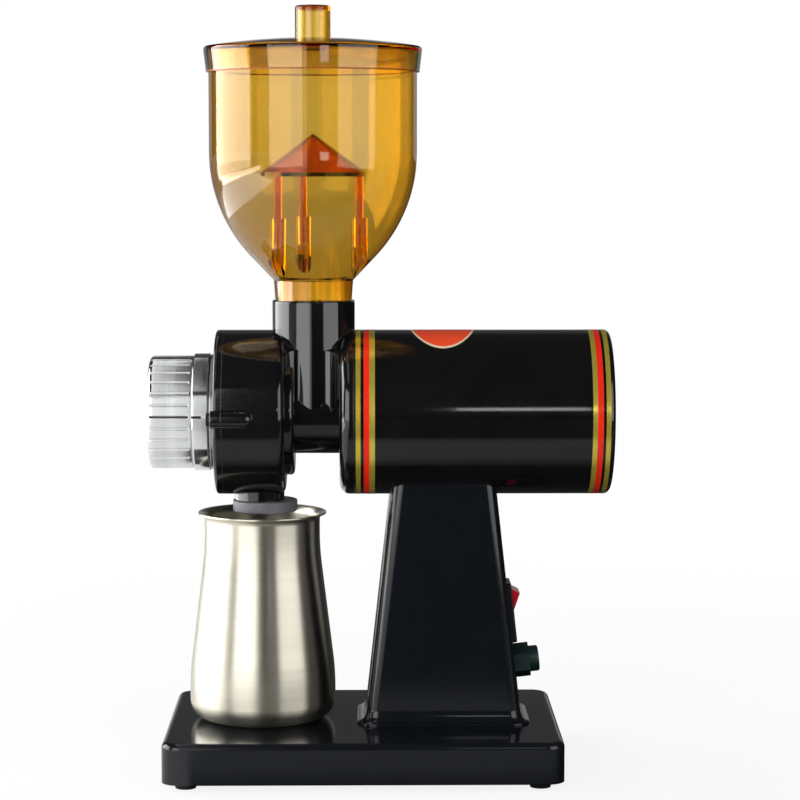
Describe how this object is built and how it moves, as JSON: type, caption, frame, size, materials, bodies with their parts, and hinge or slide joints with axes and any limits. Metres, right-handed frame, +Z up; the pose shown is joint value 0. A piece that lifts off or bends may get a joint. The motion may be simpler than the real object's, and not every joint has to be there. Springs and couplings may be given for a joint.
{
  "type": "electric coffee grinder",
  "caption": "Electric burr coffee grinder: horizontal motor on a column, dial-adjusted grinding head, clear hopper with lid, and a catching cup under the spout.",
  "frame": {"origin": "middle of the machine's box at the table, under the feet", "axes": "+X along the motor shaft from the dial to the motor's rear, +Y across the machine away from the side that the picture shows, +Z up"},
  "size_m": [0.229, 0.132, 0.3788],
  "materials": {
    "gloss_black": "high-gloss black stove enamel",
    "satin_black": "satin blue-black moulded plastic with a fine grain",
    "chrome": "bright chrome plate",
    "dial_plate": "turned and lacquered aluminium",
    "amber": "clear amber plastic, polished",
    "cup_steel": "satin stainless steel, brushed round the cup",
    "rubber": "matt black rubber",
    "zinc_steel": "zinc-plated steel",
    "black_steel": "blackened steel",
    "collar_grey": "grey moulded plastic",
    "switch_black": "black moulded plastic",
    "switch_red": "bright red moulded plastic",
    "brass": "bare brass",
    "gland_green": "dark green-black nylon",
    "plate_grey": "dark painted sheet steel",
    "capacitor_can": "drawn aluminium can",
    "ivory": "ivory moulded plastic",
    "lamination": "stacked electrical steel",
    "copper": "lacquered copper winding",
    "bright_steel": "ground steel",
    "burr_steel": "hardened steel",
    "cast_aluminium": "machined cast aluminium",
    "seal_brown": "brown seal rubber",
    "fan_black": "black moulded plastic"
  },
  "bodies": {
    "stand": {"base_housing": "satin_black", "base_plate": "plate_grey", "rubber_feet": "rubber", "foot_screws": "zinc_steel", "column": "satin_black", "column_screws": "zinc_steel", "saddle_bolts": "zinc_steel", "switch_housing": "switch_black", "switch_terminals": "brass", "gland_body": "gland_green", "gland_cap": "gland_green", "gland_seal": "rubber", "gland_lock_nut": "gland_green", "run_capacitor": "capacitor_can", "capacitor_nut": "zinc_steel", "terminal_block": "ivory", "motor_barrel": "gloss_black", "motor_front_cap": "gloss_black", "motor_rear_cap": "gloss_black", "stator_core": "lamination", "stator_windings": "copper", "front_bearing": "bright_steel", "rear_bearing": "bright_steel", "tie_bolts": "zinc_steel", "grinder_body": "gloss_black", "neck_screws": "zinc_steel", "shaft_seal": "seal_brown", "guide_pins": "bright_steel", "carrier_springs": "bright_steel", "front_cover": "gloss_black", "cover_screws": "black_steel", "index_plate": "dial_plate", "index_plate_screws": "zinc_steel", "spout_collar": "collar_grey"},
    "drive": {"rotor": "lamination", "motor_shaft": "bright_steel", "cooling_fan": "fan_black", "feed_auger": "cast_aluminium", "burr_hub": "cast_aluminium", "rotating_burr": "burr_steel", "rotating_burr_screws": "black_steel", "shaft_nut": "zinc_steel"},
    "burr_slide": {"stationary_burr": "burr_steel", "stationary_burr_screws": "black_steel", "burr_carrier": "cast_aluminium"},
    "dial": {"adjuster_spindle": "bright_steel", "dial_ring": "chrome", "dial_knob": "chrome", "knob_cap": "chrome", "knob_screw": "zinc_steel"},
    "rocker": {"switch_rocker": "switch_red"},
    "hopper_unit": {"hopper": "amber", "hopper_spigot": "amber", "bean_guard": "amber"},
    "lid": {"hopper_lid": "amber"},
    "cup_body": {"cup": "cup_steel"}
  },
  "joints": [
    {"name": "motor_spin", "type": "hinge", "parent": "stand", "child": "drive", "pos_m": [0, 0, 0.1777], "axis": [1, 0, 0], "continuous": true},
    {"name": "dial_turn", "type": "hinge", "parent": "stand", "child": "dial", "pos_m": [-0.09, 0, 0.1777], "axis": [1, 0, 0], "range_deg": [-150, 150]},
    {"name": "burr_advance", "type": "slide", "parent": "stand", "child": "burr_slide", "axis": [1, 0, 0], "range_m": [-0.0005, 0.0005], "deforming": ["carrier_springs"]},
    {"name": "rocker_tilt", "type": "hinge", "parent": "stand", "child": "rocker", "pos_m": [0.06272, 0, 0.07679], "axis": [0, -1, 0], "range_deg": [0, 25]},
    {"name": "hopper_lift", "type": "slide", "parent": "stand", "child": "hopper_unit", "axis": [0, 0, 1], "range_m": [0, 0.06]},
    {"name": "lid_lift", "type": "slide", "parent": "hopper_unit", "child": "lid", "axis": [0, 0, 1], "range_m": [0, 0.08]},
    {"name": "cup_slide", "type": "slide", "parent": "stand", "child": "cup_body", "axis": [-1, 0, 0], "range_m": [0, 0.15]}
  ],
  "couplings": [
    {"joint": "burr_advance", "follows": "dial_turn", "m_per_rad": 0.00019099}
  ]
}
